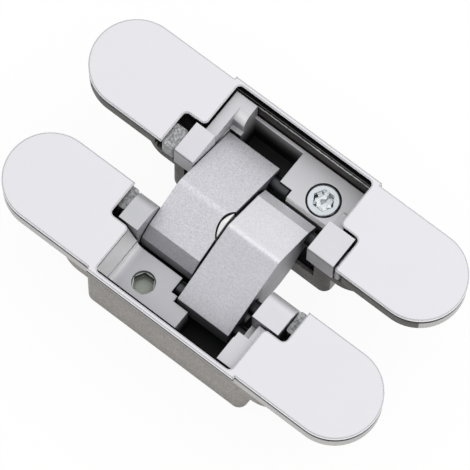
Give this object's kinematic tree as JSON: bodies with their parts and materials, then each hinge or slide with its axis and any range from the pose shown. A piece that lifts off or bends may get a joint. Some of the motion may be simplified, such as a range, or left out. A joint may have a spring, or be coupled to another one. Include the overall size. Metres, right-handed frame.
{
  "type": "concealed door hinge",
  "caption": "Concealed mortise door hinge opened flat: two round-ended leaves joined by crossing arms on hidden pins, with slotted sliders and depth, height and side adjustment.",
  "frame": {"origin": "under the middle of the opened hinge, in the plane of both housings' flat bottoms", "axes": "+X along the hinge's length, +Y from the front leaf to the rear leaf, +Z out of the cover plates"},
  "size_m": [0.1138, 0.062, 0.0281],
  "materials": {
    "cover_coat": "satin silver-white lacquer on zinc",
    "housing_zinc": "raw die-cast zinc alloy, dull warm grey",
    "carriage_zinc": "bead-blasted and lacquered die-cast zinc",
    "block_zinc": "satin lacquered die-cast zinc",
    "shoe_zinc": "raw die-cast zinc, grainy",
    "arm_zinc": "bead-blasted die-cast zinc, satin",
    "pin_steel": "ground steel",
    "screw_steel": "bright zinc-plated steel",
    "washer_plastic": "white acetal"
  },
  "bodies": {
    "front_frame": {"front_housing": "housing_zinc", "front_cover": "cover_coat"},
    "front_screw": {"front_screw": "screw_steel"},
    "front_carriage": {"front_carriage": "carriage_zinc", "front_left_block": "block_zinc", "front_right_block": "block_zinc", "front_left_shoe": "shoe_zinc", "front_right_shoe": "shoe_zinc", "front_pivot_pin": "pin_steel"},
    "arm_1": {"arm_1": "arm_zinc", "rear_slider_pin": "pin_steel", "middle_washer": "washer_plastic", "middle_pin": "pin_steel"},
    "arm_2": {"arm_2": "arm_zinc", "front_slider_pin": "pin_steel"},
    "rear_carriage": {"rear_carriage": "carriage_zinc", "rear_left_block": "block_zinc", "rear_right_block": "block_zinc", "rear_left_shoe": "shoe_zinc", "rear_right_shoe": "shoe_zinc", "rear_pivot_pin": "pin_steel", "rear_screw": "screw_steel"},
    "rear_frame": {"rear_housing": "housing_zinc", "rear_cover": "cover_coat"}
  },
  "joints": [
    {"name": "depth_adjust", "type": "slide", "parent": "front_frame", "child": "front_carriage", "axis": [0, 0, 1], "range_m": [-0.001, 0.001]},
    {"name": "depth_screw_turn", "type": "hinge", "parent": "front_frame", "child": "front_screw", "pos_m": [-0.0107, -0.0226, 0.01], "axis": [0, 0, 1], "range_deg": [-361, 361]},
    {"name": "fold", "type": "hinge", "parent": "front_carriage", "child": "arm_1", "pos_m": [0, -0.0112, 0.0185], "axis": [1, 0, 0], "range_deg": [0, 100.76]},
    {"name": "arms_cross", "type": "hinge", "parent": "arm_1", "child": "arm_2", "pos_m": [0, 0, 0.0145], "axis": [1, 0, 0], "range_deg": [-21.6, 0.05]},
    {"name": "rear_fold", "type": "hinge", "parent": "arm_2", "child": "rear_carriage", "pos_m": [0, 0.0112, 0.0185], "axis": [1, 0, 0], "range_deg": [-0.05, 100.9]},
    {"name": "height_adjust", "type": "slide", "parent": "rear_carriage", "child": "rear_frame", "axis": [1, 0, 0], "range_m": [-0.0004, 0.0017]}
  ],
  "couplings": [
    {"joint": "depth_screw_turn", "follows": "depth_adjust", "rad_per_m": -6283.2},
    {"joint": "arms_cross", "follows": "fold", "ratio": -0.21365},
    {"joint": "rear_fold", "follows": "fold", "ratio": 1}
  ]
}
